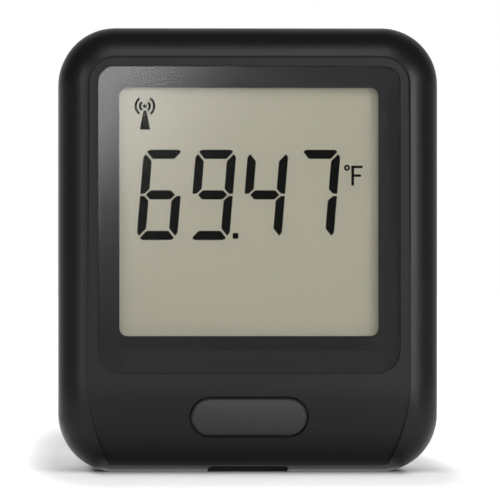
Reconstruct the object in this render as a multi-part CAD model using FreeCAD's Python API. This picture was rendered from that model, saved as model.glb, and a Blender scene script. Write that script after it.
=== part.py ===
import FreeCAD, Part
import math
import os

from FreeCAD import Vector

# A wifi temperature logger: a black case with a bullnose rim, a sunk front panel that curves back at the
# chin, a display behind a clear window, and one wide push button.
# X runs to the right as the front is seen, Y from the front to the rear, and Z up from the surface that
# the logger stands on. The origin is the middle of its foot. All sizes are in millimetres.

# Case, outside
body_width = 70.0
body_height = 82.0
body_depth = 23.0
corner_radius = 10.4
front_roll_radius = 6.5
rear_roll_radius = 4.0
chin_height = 16.0
chin_radius = 36.0

# Case, walls and the joint between its two mouldings
wall = 2.0
front_wall = 2.75
rear_case_depth = 4.5
parting_chamfer = 0.25
rebate_width = 0.9
rebate_depth = 2.0
lip_clearance = 0.1
seal_height = 0.8
seal_clearance = 0.05
front_inner_chamfer = 2.6
rear_inner_chamfer = 1.2

# Sunk front panel
panel_inset = 5.2
panel_sink = 0.45
panel_chin_radius = 30.6
panel_waist_height = 17.0
panel_waist_radius = 32.0

# Display window and the black border behind it
window_margin = 2.0
window_foot = 18.2
window_top_radius = 2.9
window_foot_radius = 4.3
window_thickness = 1.0
window_gap = 0.12
border_thickness = 0.2
border_side = 3.9
border_foot = 6.9
view_radius = 1.5
case_opening_margin = 0.3

# Display cell, the gasket in front of it, and the holder that carries it on the board
dust_gasket_thickness = 0.5
dust_gasket_inset = 0.2
dust_gasket_width = 1.0
polariser_thickness = 0.2
polariser_setback = 0.4
glass_thickness = 1.1
glass_margin = 2.0
contact_ledge = 3.2
holder_clearance = 0.15
holder_wall = 1.0
holder_setback = 0.3
holder_ledge_width = 3.0
holder_lug_half = 1.6
holder_lug_height = 2.0
holder_pin_radius = 0.8
holder_pin_length = 2.0
holder_pin_step = 6.0
connector_width = 1.8
connector_edge_gap = 0.4
connector_end_gap = 3.0
connector_clearance = 0.1

# Circuit board
board_place = 9.3
board_thickness = 1.6
board_gap = 1.0
board_foot_gap = 0.8
board_hole_clearance = 0.1
board_notch_gap = 0.4
board_post_radius = 2.0
board_post_gap = 0.45
board_post_foot_inset = 23.6
board_post_top_inset = 15.0

# Screws: four hold the rear case, four hold the board. Round things inside the case have flats: few
# where nothing shows, and more on the screw heads that show from the rear.
boss_side_inset = 13.0
boss_radius = 2.3
boss_wall_gap = 0.3
case_screw_radius = 1.1
case_screw_length = 10.0
case_screw_head_radius = 2.0
case_screw_head_height = 1.3
case_screw_head_sink = 0.4
board_screw_radius = 0.8
board_screw_length = 5.0
board_screw_head_radius = 1.6
board_screw_head_height = 1.1
pilot_clearance = 0.05
pilot_end_gap = 1.0
shank_clearance = 0.3
head_clearance = 0.25
drive_width = 0.6
drive_depth = 0.7
drive_margin = 0.5
hidden_flat_count = 8
seen_flat_count = 16
corner_flat_count = 4

# Push button, its seal, and the switch behind it
button_height_above_foot = 10.15
button_hole_width = 22.0
button_hole_height = 7.6
button_gap = 0.3
button_crown_radius = 14.0
button_proud = 0.5
button_edge_chamfer = 0.35
button_collar_wall = 1.6
button_collar_place = 4.8
button_seal_thickness = 0.4
button_seat_gap = 0.05
button_flange_lip = 1.0
button_flange_thickness = 0.8
button_stem_radius = 1.5
switch_size = 6.0
switch_body_height = 1.8
switch_cover_thickness = 0.2
switch_tab_width = 1.6
switch_plunger_radius = 1.6
switch_plunger_collar = 0.4
switch_plunger_collar_height = 0.5
switch_plunger_clearance = 0.12
switch_plunger_out = 0.8
switch_well_depth = 1.3

# Charging notch in the foot, and the socket above it
notch_width = 15.0
notch_height = 2.2
notch_lip = 0.36
notch_corner_radius = 1.0
notch_wall = 1.4
plug_half_depth = 3.6
socket_hole_clearance = 0.35
socket_gap = 0.1
socket_width = 7.5
socket_depth = 2.5
socket_length = 5.3
socket_sheet = 0.3
socket_bevel = 0.8
tongue_width = 4.6
tongue_thickness = 0.7
tongue_length = 4.0

# Battery, its pad, cradle, leads and plug
cell_left_room = 11.5
cell_right_room = 6.5
cell_foot = 16.0
cell_height = 34.0
cell_thickness = 5.0
cell_edge_radius = 2.2
terrace_length = 4.0
terrace_thickness = 1.0
terrace_end_gap = 2.0
protection_gap = 0.2
protection_end_gap = 4.0
protection_thickness = 1.0
cell_pad_thickness = 0.6
cell_pad_margin = 4.0
rib_thickness = 1.2
rib_height = 3.0
rib_clearance = 0.3
rib_end_gap = 5.0
side_rib_length = 8.0
lead_radius = 0.6
lead_flat_count = 6
lead_spread = 2.0
lead_height = 15.0
lead_first_rise = 6.0
lead_second_rise = 5.0
arc_share_of_run = 0.45
battery_plug_width = 5.6
battery_plug_length = 6.0
battery_plug_thickness = 3.4
battery_plug_clearance = 0.1
header_wall = 0.8
header_grip = 4.5
header_edge_gap = 0.9

# Keyhole in the rear case, for hanging the logger on a screw
keyhole_gap = 3.9
keyhole_entry_radius = 4.2
keyhole_slot_width = 4.8
keyhole_rise = 7.0
keyhole_skin = 1.8
keyhole_pocket_half = 4.9
keyhole_pocket_depth = 3.0
keyhole_pocket_wall = 1.2

# Radio module on the rear of the board
radio_width = 18.0
radio_height = 24.0
radio_thickness = 0.8
radio_boss_gap = 1.7
shield_height = 16.4
shield_rise = 2.0
shield_sheet = 0.2
shield_margin = 1.2
shield_corner_chamfer = 0.4
antenna_bars = 9
antenna_trace = 0.6
antenna_reach = 4.2
antenna_thickness = 0.1
antenna_edge_gap = 0.8

# Chips and small parts on the rear of the board
chip_row_gap = 1.9
crystal_height = 62.0
crystal_width = 3.2
crystal_length = 5.0
crystal_thickness = 1.0
crystal_corner_chamfer = 0.6
processor_height = 61.0
processor_size = 7.0
processor_thickness = 1.2
processor_leads_a_side = 8
processor_lead_pitch = 0.8
processor_lead_width = 0.4
memory_height = 44.0
memory_width = 4.0
memory_length = 5.0
memory_thickness = 1.5
memory_leads_a_side = 4
memory_lead_pitch = 1.27
memory_lead_width = 0.4
chip_lead_reach = 1.0
chip_lead_thickness = 0.3
power_part_x = 14.0
inductor_height = 34.0
inductor_size = 5.0
inductor_thickness = 2.0
inductor_plate = 0.5
inductor_core_radius = 1.9
charger_height = 24.0
charger_size = 3.0
charger_thickness = 0.9
capacitor_gap = 2.4
capacitor_pitch = 4.6
capacitor_count = 4
capacitor_width = 1.6
capacitor_length = 3.2
capacitor_thickness = 1.4
sensor_size = 3.0
sensor_thickness = 1.0
sensor_top_gap = 1.4
sensor_port_radius = 0.5
sensor_port_depth = 0.4
sensor_slot_width = 1.0
sensor_slot_height = 8.0
sensor_tongue_width = 7.0

# Places worked out from the sizes above
rim_overlap = max(0.0, front_roll_radius - panel_inset)
rim_rise = front_roll_radius - math.sqrt(front_roll_radius**2 - rim_overlap**2)
front_y = -body_depth / 2 - rim_rise
rear_y = body_depth / 2
half_width = body_width / 2
parting_y = rear_y - rear_case_depth
rebate_y = parting_y - rebate_depth
panel_y = front_y + panel_sink
inner_front_y = front_y + front_wall
inner_rear_y = rear_y - wall
inner_half = half_width - wall
inner_top = body_height - wall

window_half = half_width - panel_inset - window_margin
window_top = body_height - panel_inset - window_margin
window_rear_y = panel_y + window_thickness
ledge_y = window_rear_y + border_thickness
view_half = window_half - border_side
view_top = window_top - border_side
view_foot = window_foot + border_foot

display_y = inner_front_y + dust_gasket_thickness
front_glass_y = display_y + polariser_thickness
rear_glass_y = front_glass_y + glass_thickness
rear_polariser_y = rear_glass_y + glass_thickness
display_rear_y = rear_polariser_y + polariser_thickness
glass_half = view_half + glass_margin
glass_top = view_top + glass_margin
rear_glass_foot = view_foot - glass_margin
front_glass_foot = rear_glass_foot - contact_ledge
holder_half = glass_half + holder_clearance + holder_wall
holder_foot = front_glass_foot - holder_clearance - holder_wall
holder_top = glass_top + holder_clearance + holder_wall
holder_y = front_glass_y + holder_setback
connector_foot = front_glass_foot + connector_edge_gap
connector_half = glass_half - connector_end_gap

board_y = front_y + board_place
board_rear_y = board_y + board_thickness
board_half = inner_half - board_gap
board_radius = corner_radius - wall - board_gap
board_foot = notch_height + notch_wall + board_foot_gap
board_top = inner_top - board_gap
board_post_x = holder_half + board_post_gap + board_post_radius
board_post_foot_z = board_foot + board_post_foot_inset
board_post_top_z = board_top - board_post_top_inset
board_post_heights = (board_post_foot_z, board_post_top_z)
board_post_places = [(side * board_post_x, z) for side in (-1, 1) for z in board_post_heights]
holder_lug_x = holder_half + holder_lug_half - holder_wall
holder_lug_heights = (board_post_foot_z + holder_pin_step, board_post_top_z - holder_pin_step)
holder_lug_places = [(side * holder_lug_x, z) for side in (-1, 1) for z in holder_lug_heights]

boss_x = half_width - boss_side_inset
boss_inset = wall + boss_wall_gap + boss_radius
boss_y = rebate_y
boss_places = [(side * boss_x, z) for side in (-1, 1) for z in (boss_inset, body_height - boss_inset)]
case_head_y = rear_y - case_screw_head_sink - case_screw_head_height

button_z = button_height_above_foot
collar_y = front_y + button_collar_place
flange_y = collar_y + button_seal_thickness + button_seat_gap
flange_rear_y = flange_y + button_flange_thickness
switch_body_y = board_y - switch_body_height
switch_front_y = switch_body_y - switch_cover_thickness
plunger_tip_y = switch_front_y - switch_plunger_out
well_rear_y = switch_body_y + switch_well_depth

socket_y = board_rear_y + socket_depth / 2
socket_foot = notch_height + notch_wall + socket_gap
notch_rear_y = socket_y + plug_half_depth

cell_left = -inner_half + cell_left_room
cell_right = inner_half - cell_right_room
cell_top = cell_foot + cell_height
cell_back_y = inner_rear_y - cell_pad_thickness
protection_y = cell_back_y - terrace_thickness - protection_thickness
lead_y = protection_y - lead_radius
header_x = -board_half + header_edge_gap + header_wall + battery_plug_clearance + battery_plug_width / 2
header_rear_y = board_rear_y + 2 * header_wall + 2 * battery_plug_clearance + battery_plug_thickness
plug_y = board_rear_y + header_wall + battery_plug_clearance + battery_plug_thickness / 2
plug_foot = cell_foot + lead_height + lead_first_rise + lead_second_rise
plug_top = plug_foot + battery_plug_length

keyhole_z = cell_top + keyhole_gap + keyhole_pocket_wall + keyhole_pocket_half
pocket_y = rear_y - keyhole_skin
pocket_floor_y = pocket_y - keyhole_pocket_depth

radio_right = boss_x - boss_radius - radio_boss_gap
radio_x = radio_right - radio_width / 2
radio_foot = board_top - radio_height
radio_rear_y = board_rear_y + radio_thickness
shield_foot = radio_foot + shield_margin
crystal_x = radio_right - radio_width - chip_row_gap - crystal_width / 2
processor_x = crystal_x - crystal_width / 2 - chip_row_gap - chip_lead_reach - processor_size / 2
sensor_x = (radio_right - radio_width - boss_x) / 2
sensor_top = board_top - sensor_top_gap
capacitor_right = power_part_x - charger_size / 2 - capacitor_gap

overrun = 3.0
beyond = 60.0
touch = 1e-4


def block(x0, x1, y0, y1, z0, z1):
    """A box between two corners."""
    return Part.makeBox(x1 - x0, y1 - y0, z1 - z0, Vector(x0, y0, z0))


def chip(x, z, width, height, y0, y1):
    """A box centred on (x, z), from depth y0 to depth y1."""
    return block(x - width / 2, x + width / 2, y0, y1, z - height / 2, z + height / 2)


def rod(x, z, radius, y0, y1, flats=hidden_flat_count):
    """A bar along the depth of the case, with flats round it, whose corners lie on the radius."""
    corners = []
    for number in range(flats + 1):
        angle = (number + 0.5) * 2 * math.pi / flats
        corners.append(Vector(x + radius * math.cos(angle), y0, z + radius * math.sin(angle)))
    return Part.Face(Part.makePolygon(corners)).extrude(Vector(0, y1 - y0, 0))


def round_rod(x, z, radius, y0, y1):
    """A round bar along the depth of the case."""
    return Part.makeCylinder(radius, y1 - y0, Vector(x, y0, z), Vector(0, 1, 0))


def rounded_wire(half, foot, top, foot_radius, top_radius, y, flats):
    """A rectangle with rounded corners, centred on X, in the plane at depth y. Corners may have flats."""
    corners = [
        (half, foot, foot_radius, 1, -1),
        (half, top, top_radius, 1, 1),
        (-half, top, top_radius, -1, 1),
        (-half, foot, foot_radius, -1, -1),
    ]
    edges = []
    ends = []
    for x, z, radius, right, up in corners:
        points = []
        for number in range((flats or 2) + 1):
            angle = number * math.pi / 2 / (flats or 2)
            reach_x = right * radius * math.cos(angle)
            reach_z = up * radius * math.sin(angle)
            points.append(Vector(x - right * radius + reach_x, y, z - up * radius + reach_z))
        if right * up < 0:
            points.reverse()
        if flats:
            edges += [Part.makeLine(*pair) for pair in zip(points, points[1:])]
        else:
            edges.append(Part.Arc(*points).toShape())
        ends.append((points[0], points[-1]))
    for (_, leave), (arrive, _) in zip(ends, ends[1:] + ends[:1]):
        if leave.distanceToPoint(arrive) > touch:
            edges.append(Part.makeLine(leave, arrive))
    return Part.Wire(Part.__sortEdges__(edges))


def plate(half, foot, top, foot_radius, top_radius, y0, y1, flats=0):
    """A plate with rounded corners, centred on X, from depth y0 to depth y1."""
    wire = rounded_wire(half, foot, top, foot_radius, top_radius, y0, flats)
    return Part.Face(wire).extrude(Vector(0, y1 - y0, 0))


def stadium(width, height, y0, y1):
    """A plate with round ends at the button's place."""
    foot = button_z - height / 2
    return plate(width / 2, foot, foot + height, height / 2, height / 2, y0, y1)


def face_depth(z, face_y, arc_radius):
    """The depth of a front face at height z: flat above the chin and curved back below it."""
    drop = max(0.0, chin_height - z)
    return face_y + arc_radius - math.sqrt(arc_radius**2 - drop**2)


def behind_face(face_y, arc_radius):
    """All the space behind such a front face."""
    low = -overrun
    heights = (chin_height, (chin_height + low) / 2, low)
    points = [Vector(-beyond, face_depth(z, face_y, arc_radius), z) for z in heights]
    top = Vector(-beyond, face_y, body_height + overrun)
    far_top = Vector(-beyond, beyond, body_height + overrun)
    far_low = Vector(-beyond, beyond, low)
    edges = [
        Part.makeLine(top, points[0]),
        Part.Arc(*points).toShape(),
        Part.makeLine(points[2], far_low),
        Part.makeLine(far_low, far_top),
        Part.makeLine(far_top, top),
    ]
    return Part.Face(Part.Wire(edges)).extrude(Vector(2 * beyond, 0, 0))


def middle_of(edge):
    return edge.valueAt((edge.FirstParameter + edge.LastParameter) / 2)


def rim_edges(form, face_y, arc_radius):
    """The closed run of edges round a front face, without the line where its chin begins."""
    found = []
    for edge in form.Edges:
        point = middle_of(edge)
        on_face = abs(point.y - face_depth(point.z, face_y, arc_radius)) < touch
        chin_line = all(abs(v.Z - chin_height) < touch for v in edge.Vertexes)
        if on_face and not chin_line:
            found.append(edge)
    return found


def edges_at_depth(form, y):
    """The edges that lie in the plane at depth y."""
    found = []
    for edge in form.Edges:
        depths = [v.Y for v in edge.Vertexes] + [middle_of(edge).y]
        if all(abs(depth - y) < touch for depth in depths):
            found.append(edge)
    return found


def edges_along_depth(form):
    """The straight edges that run from the front to the rear."""
    return [e for e in form.Edges if abs(e.Vertexes[0].Y - e.Vertexes[-1].Y) > touch]


def sharp_envelope(side, front, rear, flats=0):
    """The form of the case before its edges are rolled, taken in at the sides, the front and the rear."""
    radius = corner_radius - side
    face_y = front_y + front
    outline = (half_width - side, side, body_height - side, radius, radius)
    form = plate(*outline, face_y, rear_y - rear, flats)
    return form.common(behind_face(face_y, chin_radius - front))


def envelope(side, front, rear):
    """The outer form of the case with its rolled edges, taken in by part of the wall or none."""
    form = sharp_envelope(side, front, rear)
    form = form.makeFillet(front_roll_radius - side, rim_edges(form, front_y + front, chin_radius - front))
    return form.makeFillet(rear_roll_radius - rear, edges_at_depth(form, rear_y - rear))


def hollow():
    """The inside of the case, whose edges are chamfered where the outside is rolled."""
    form = sharp_envelope(wall, front_wall, wall, corner_flat_count)
    form = form.makeChamfer(front_inner_chamfer, rim_edges(form, inner_front_y, chin_radius - front_wall))
    return form.makeChamfer(rear_inner_chamfer, edges_at_depth(form, inner_rear_y))


def case_core():
    """The middle of the case walls and all that lies inside, where posts and ribs may end."""
    return envelope(wall / 2, front_wall / 2, wall / 2)


def half_shell(y0, y1):
    """The hollow case between two depths, with its parting edge broken all round."""
    outside = envelope(0, 0, 0).common(block(-beyond, beyond, y0, y1, -beyond, 2 * beyond))
    outside = outside.makeChamfer(parting_chamfer, edges_at_depth(outside, parting_y))
    return outside.cut(hollow())


def ring(outer_inset, inner_inset, y0, y1):
    """A band that follows the outline of the case between two insets from it."""
    bands = []
    for inset in (outer_inset, inner_inset):
        radius = corner_radius - inset
        outline = (half_width - inset, inset, body_height - inset, radius, radius)
        bands.append(plate(*outline, y0, y1, corner_flat_count))
    return bands[0].cut(bands[1])


def panel_outline():
    """The front panel's outline: it follows the case at the top and sides, and draws in towards the foot."""
    half = half_width - panel_inset
    top = body_height - panel_inset
    radius = corner_radius - panel_inset
    reach = radius * math.sqrt(0.5)
    low = -overrun
    halfway = (panel_waist_height + low) / 2
    draw_x, low_x = [
        half - panel_waist_radius + math.sqrt(panel_waist_radius**2 - (panel_waist_height - z) ** 2)
        for z in (halfway, low)
    ]
    edges = []
    for side in (-1, 1):
        crown = Vector(side * (half - radius), front_y, top)
        corner = Vector(side * (half - radius + reach), front_y, top - radius + reach)
        shoulder = Vector(side * half, front_y, top - radius)
        waist = Vector(side * half, front_y, panel_waist_height)
        draw = Vector(side * draw_x, front_y, halfway)
        foot = Vector(side * low_x, front_y, low)
        edges.append(Part.Arc(crown, corner, shoulder).toShape())
        edges.append(Part.makeLine(shoulder, waist))
        edges.append(Part.Arc(waist, draw, foot).toShape())
    edges.append(Part.makeLine(Vector(radius - half, front_y, top), Vector(half - radius, front_y, top)))
    edges.append(Part.makeLine(Vector(-low_x, front_y, low), Vector(low_x, front_y, low)))
    return Part.Wire(Part.__sortEdges__(edges))


def panel_recess():
    """What is cut away in front of the sunk panel."""
    tongue = Part.Face(panel_outline()).extrude(Vector(0, body_depth, 0))
    tongue.translate(Vector(0, -overrun, 0))
    return tongue.cut(behind_face(panel_y, panel_chin_radius))


def notch_front_y():
    """The notch begins a lip's thickness behind the edge where the sunk panel runs out into the roll."""
    roll_z = front_roll_radius
    roll_angle = math.asin((chin_height - roll_z) / (chin_radius - front_roll_radius))
    roll_y = front_y + chin_radius - (chin_radius - front_roll_radius) * math.cos(roll_angle)
    centre_y = panel_y + panel_chin_radius
    apart = math.hypot(centre_y - roll_y, chin_height - roll_z)
    cosine = (apart**2 + front_roll_radius**2 - panel_chin_radius**2) / (2 * apart * front_roll_radius)
    angle = math.atan2(chin_height - roll_z, centre_y - roll_y) - math.acos(cosine)
    return roll_y + front_roll_radius * math.cos(angle) + notch_lip


def charging_notch():
    """The notch in the foot that the charging plug's grip goes into."""
    half = notch_width / 2
    notch = block(-half, half, notch_front_y(), notch_rear_y, -overrun, notch_height)
    upright = [e for e in notch.Edges if abs(e.Vertexes[0].Z - e.Vertexes[1].Z) > notch_height]
    return notch.makeFillet(notch_corner_radius, upright)


def notch_housing():
    """The walls round the charging notch, inside the case."""
    half = notch_width / 2 + notch_wall
    return block(-half, half, front_y, notch_rear_y + notch_wall, 0, notch_height + notch_wall)


def socket_hole():
    """The slot in the notch's roof that the plug's nose goes through."""
    half = socket_width / 2 + socket_hole_clearance
    deep = socket_depth / 2 + socket_hole_clearance
    return block(-half, half, socket_y - deep, socket_y + deep, 0, notch_height + notch_wall + overrun)


def front_case():
    collar_width = button_hole_width + 2 * button_collar_wall
    collar_height = button_hole_height + 2 * button_collar_wall
    added = [chip(0, button_z, collar_width, collar_height, front_y, collar_y), notch_housing()]
    added += [rod(x, z, boss_radius, front_y, boss_y) for x, z in boss_places]
    added += [rod(x, z, board_post_radius, front_y, board_y) for x, z in board_post_places]
    core = case_core()
    solid = half_shell(front_y - overrun, parting_y).fuse([piece.common(core) for piece in added])
    recess_half = window_half + window_gap
    recess_foot = window_foot - window_gap
    recess_top = window_top + window_gap
    recess_radii = (window_foot_radius + window_gap, window_top_radius + window_gap)
    opening_half = view_half + case_opening_margin
    opening_foot = view_foot - case_opening_margin
    opening_top = view_top + case_opening_margin
    opening_radius = view_radius + case_opening_margin
    removed = [
        panel_recess(),
        plate(recess_half, recess_foot, recess_top, *recess_radii, front_y - overrun, ledge_y),
        plate(opening_half, opening_foot, opening_top, opening_radius, opening_radius, front_y, display_y),
        stadium(button_hole_width, button_hole_height, front_y - overrun, collar_y + overrun),
        ring(wall - rebate_width, wall + lip_clearance, rebate_y, parting_y + overrun),
        charging_notch(),
        socket_hole(),
    ]
    pilot_y = case_head_y - case_screw_length - pilot_end_gap
    pilot_radius = case_screw_radius + pilot_clearance
    removed += [rod(x, z, pilot_radius, pilot_y, parting_y) for x, z in boss_places]
    pilot_y = board_rear_y - board_screw_length - pilot_end_gap
    pilot_radius = board_screw_radius + pilot_clearance
    removed += [rod(x, z, pilot_radius, pilot_y, board_rear_y) for x, z in board_post_places]
    return solid.cut(removed).removeSplitter()


def keyhole_slot():
    """The slot that the wall screw's shank rises in, with its round top end."""
    half = keyhole_slot_width / 2
    top = keyhole_z + keyhole_rise
    straight = block(-half, half, pocket_y, rear_y + overrun, keyhole_z, top)
    return straight.fuse(round_rod(0, top, half, pocket_y, rear_y + overrun))


def keyhole_box(half, y0, y1):
    """A box round the keyhole's entry and slot, half as wide as told on every side of them."""
    return block(-half, half, y0, y1, keyhole_z - half, keyhole_z + keyhole_rise + half)


def cradle_ribs():
    """The ribs round the battery, with a gap on the left where its leads leave."""
    y0 = inner_rear_y - rib_height
    left = cell_left - rib_clearance
    right = cell_right + rib_clearance
    low = cell_foot - rib_clearance
    high = cell_top + rib_clearance
    return [
        block(left + rib_end_gap, right - rib_end_gap, y0, rear_y, low - rib_thickness, low),
        block(left + rib_end_gap, right - rib_end_gap, y0, rear_y, high, high + rib_thickness),
        block(right, right + rib_thickness, y0, rear_y, low + rib_end_gap, high - rib_end_gap),
        block(left - rib_thickness, left, y0, rear_y, low, low + side_rib_length),
        block(left - rib_thickness, left, y0, rear_y, high - side_rib_length, high),
    ]


def rear_case():
    lip = ring(wall - rebate_width + lip_clearance, wall, rebate_y + seal_height, parting_y + wall)
    pocket_half = keyhole_pocket_half + keyhole_pocket_wall
    added = cradle_ribs() + [keyhole_box(pocket_half, pocket_floor_y - keyhole_pocket_wall, rear_y)]
    added += [rod(x, z, boss_radius, boss_y, rear_y) for x, z in boss_places]
    core = case_core()
    solid = half_shell(parting_y, rear_y + overrun).fuse([lip] + [piece.common(core) for piece in added])
    removed = [
        keyhole_box(keyhole_pocket_half, pocket_floor_y, pocket_y),
        keyhole_slot(),
        round_rod(0, keyhole_z, keyhole_entry_radius, pocket_y, rear_y + overrun),
    ]
    for x, z in boss_places:
        removed.append(rod(x, z, case_screw_radius + shank_clearance, boss_y, rear_y))
        head_radius = case_screw_head_radius + head_clearance
        removed.append(rod(x, z, head_radius, case_head_y, rear_y + overrun, seen_flat_count))
    return solid.cut(removed).removeSplitter()


def case_seal():
    return ring(wall - rebate_width + seal_clearance, wall, rebate_y, rebate_y + seal_height)


def display_window():
    radii = (window_foot_radius, window_top_radius)
    return plate(window_half, window_foot, window_top, *radii, panel_y, window_rear_y)


def window_border():
    """The black border, as large as the window, with the opening that the display is read through."""
    radii = (window_foot_radius, window_top_radius)
    whole = plate(window_half, window_foot, window_top, *radii, window_rear_y, ledge_y)
    opening = plate(view_half, view_foot, view_top, view_radius, view_radius, window_rear_y, ledge_y)
    return whole.cut(opening)


def dust_gasket():
    """The foam frame between the case's opening and the display, cut with square corners."""
    frames = []
    for growth in (dust_gasket_inset + dust_gasket_width, dust_gasket_inset):
        margin = case_opening_margin + growth
        half = view_half + margin
        frames.append(block(-half, half, inner_front_y, display_y, view_foot - margin, view_top + margin))
    return frames[0].cut(frames[1])


def glass_pane(foot, setback, y0, y1):
    """One layer of the display cell, set back from the glass edge."""
    half = glass_half - setback
    return block(-half, half, y0, y1, foot + setback, glass_top - setback)


def display_holder():
    """The frame that holds the display cell off the board and locates it with four pins."""
    solid = block(-holder_half, holder_half, holder_y, board_y, holder_foot, holder_top)
    lug_y = board_y - holder_lug_height
    lug_size = 2 * holder_lug_half
    pin_y = board_y + holder_pin_length
    for x, z in holder_lug_places:
        solid = solid.fuse(chip(x, z, lug_size, lug_size, lug_y, board_y))
    gap = holder_clearance
    half = glass_half + gap
    ledge_half = half - holder_ledge_width
    ledge_foot = rear_glass_foot - gap + holder_ledge_width
    ledge_top = glass_top + gap - holder_ledge_width
    slot_half = connector_half + connector_clearance
    slot_foot = connector_foot - connector_clearance
    slot_top = connector_foot + connector_width + connector_clearance
    solid = solid.cut(
        [
            block(-half, half, front_y, rear_glass_y, front_glass_foot - gap, glass_top + gap),
            block(-half, half, front_y, display_rear_y, rear_glass_foot - gap, glass_top + gap),
            block(-ledge_half, ledge_half, front_y, board_y, ledge_foot, ledge_top),
            block(-slot_half, slot_half, rear_glass_y, board_y, slot_foot, slot_top),
        ]
    )
    pins = [rod(x, z, holder_pin_radius, board_y, pin_y) for x, z in holder_lug_places]
    return solid.fuse(pins).removeSplitter()


def display_connector():
    """The elastomer strip that carries the signals from the board to the display's contact ledge."""
    foot = connector_foot
    return block(-connector_half, connector_half, rear_glass_y, board_y, foot, foot + connector_width)


def main_board():
    """The board: notched round the case bosses, with the temperature sensor's tongue cut free at the top."""
    outline = (board_half, board_foot, board_top, board_radius, board_radius)
    board = plate(*outline, board_y, board_rear_y, corner_flat_count)
    removed = []
    notch_half = boss_radius + board_notch_gap
    for x, z in boss_places:
        low, high = (-overrun, z + notch_half) if z < body_height / 2 else (z - notch_half, body_height)
        removed.append(block(x - notch_half, x + notch_half, board_y, board_rear_y, low, high))
    for x, z in board_post_places:
        removed.append(rod(x, z, board_screw_radius + board_hole_clearance, board_y, board_rear_y))
    for x, z in holder_lug_places:
        removed.append(rod(x, z, holder_pin_radius + board_hole_clearance, board_y, board_rear_y))
    slot_z = board_top - sensor_slot_height
    for side in (-1, 1):
        near, far = [
            sensor_x + side * (sensor_tongue_width / 2 + reach) for reach in (0, sensor_slot_width)
        ]
        removed.append(block(min(near, far), max(near, far), board_y, board_rear_y, slot_z, body_height))
    return board.cut(removed)


def temperature_sensor():
    """The sensor on its tongue, with the port that it takes the air's temperature through."""
    z = sensor_top - sensor_size / 2
    rear = board_rear_y + sensor_thickness
    body = chip(sensor_x, z, sensor_size, sensor_size, board_rear_y, rear)
    return body.cut(rod(sensor_x, z, sensor_port_radius, rear - sensor_port_depth, rear))


def leaded_chip(x, z, width, height, thickness, sides, count, pitch, lead_width):
    """A moulded chip with a row of flat leads on each of the named sides: two along X, two along Z."""
    body = chip(x, z, width, height, board_rear_y, board_rear_y + thickness)
    depths = (board_rear_y, board_rear_y + chip_lead_thickness)
    span = width + 2 * chip_lead_reach
    rise = height + 2 * chip_lead_reach
    leads = []
    for number in range(count):
        along = (number - (count - 1) / 2) * pitch
        if "x" in sides:
            leads.append(chip(x, z + along, span, lead_width, *depths))
        if "z" in sides:
            leads.append(chip(x + along, z, lead_width, rise, *depths))
    return body.fuse(leads).removeSplitter()


def processor():
    sizes = (processor_size, processor_size, processor_thickness)
    leads = (processor_leads_a_side, processor_lead_pitch, processor_lead_width)
    return leaded_chip(processor_x, processor_height, *sizes, "xz", *leads)


def memory_chip():
    sizes = (memory_width, memory_length, memory_thickness)
    leads = (memory_leads_a_side, memory_lead_pitch, memory_lead_width)
    return leaded_chip(processor_x, memory_height, *sizes, "x", *leads)


def crystal():
    """The crystal's can, with its corners taken off."""
    depths = (board_rear_y, board_rear_y + crystal_thickness)
    can = chip(crystal_x, crystal_height, crystal_width, crystal_length, *depths)
    return can.makeChamfer(crystal_corner_chamfer, edges_along_depth(can))


def inductor():
    """A drum core between two square plates."""
    rear = board_rear_y + inductor_thickness
    size = inductor_size
    low = chip(power_part_x, inductor_height, size, size, board_rear_y, board_rear_y + inductor_plate)
    high = chip(power_part_x, inductor_height, size, size, rear - inductor_plate, rear)
    core = rod(power_part_x, inductor_height, inductor_core_radius, board_rear_y, rear, seen_flat_count)
    return low.fuse([high, core])


def charger_chip():
    rear = board_rear_y + charger_thickness
    return chip(power_part_x, charger_height, charger_size, charger_size, board_rear_y, rear)


def capacitor(number):
    x = capacitor_right - capacitor_width / 2 - number * capacitor_pitch
    rear = board_rear_y + capacitor_thickness
    return chip(x, charger_height, capacitor_width, capacitor_length, board_rear_y, rear)


def radio_board():
    z = radio_foot + radio_height / 2
    return chip(radio_x, z, radio_width, radio_height, board_rear_y, radio_rear_y)


def radio_shield():
    """The sheet-metal can over the radio's chips, open towards its board."""
    z = shield_foot + shield_height / 2
    width = radio_width - 2 * shield_margin
    rear = radio_rear_y + shield_rise
    can = chip(radio_x, z, width, shield_height, radio_rear_y, rear)
    can = can.makeChamfer(shield_corner_chamfer, edges_along_depth(can))
    sheet = 2 * shield_sheet
    return can.cut(chip(radio_x, z, width - sheet, shield_height - sheet, radio_rear_y, rear - shield_sheet))


def radio_antenna():
    """The meander of copper at the top of the radio's board."""
    width = radio_width - 2 * antenna_edge_gap - antenna_trace
    pitch = width / (antenna_bars - 1)
    high = board_top - antenna_edge_gap
    low = high - antenna_reach
    rear = radio_rear_y + antenna_thickness
    left = radio_x - width / 2
    pieces = []
    for number in range(antenna_bars):
        x = left + number * pitch
        pieces.append(block(x - antenna_trace / 2, x + antenna_trace / 2, radio_rear_y, rear, low, high))
        if number == 0:
            continue
        z = high - antenna_trace if number % 2 else low
        link_left = x - pitch - antenna_trace / 2
        pieces.append(block(link_left, x + antenna_trace / 2, radio_rear_y, rear, z, z + antenna_trace))
    return pieces[0].fuse(pieces[1:]).removeSplitter()


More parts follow.
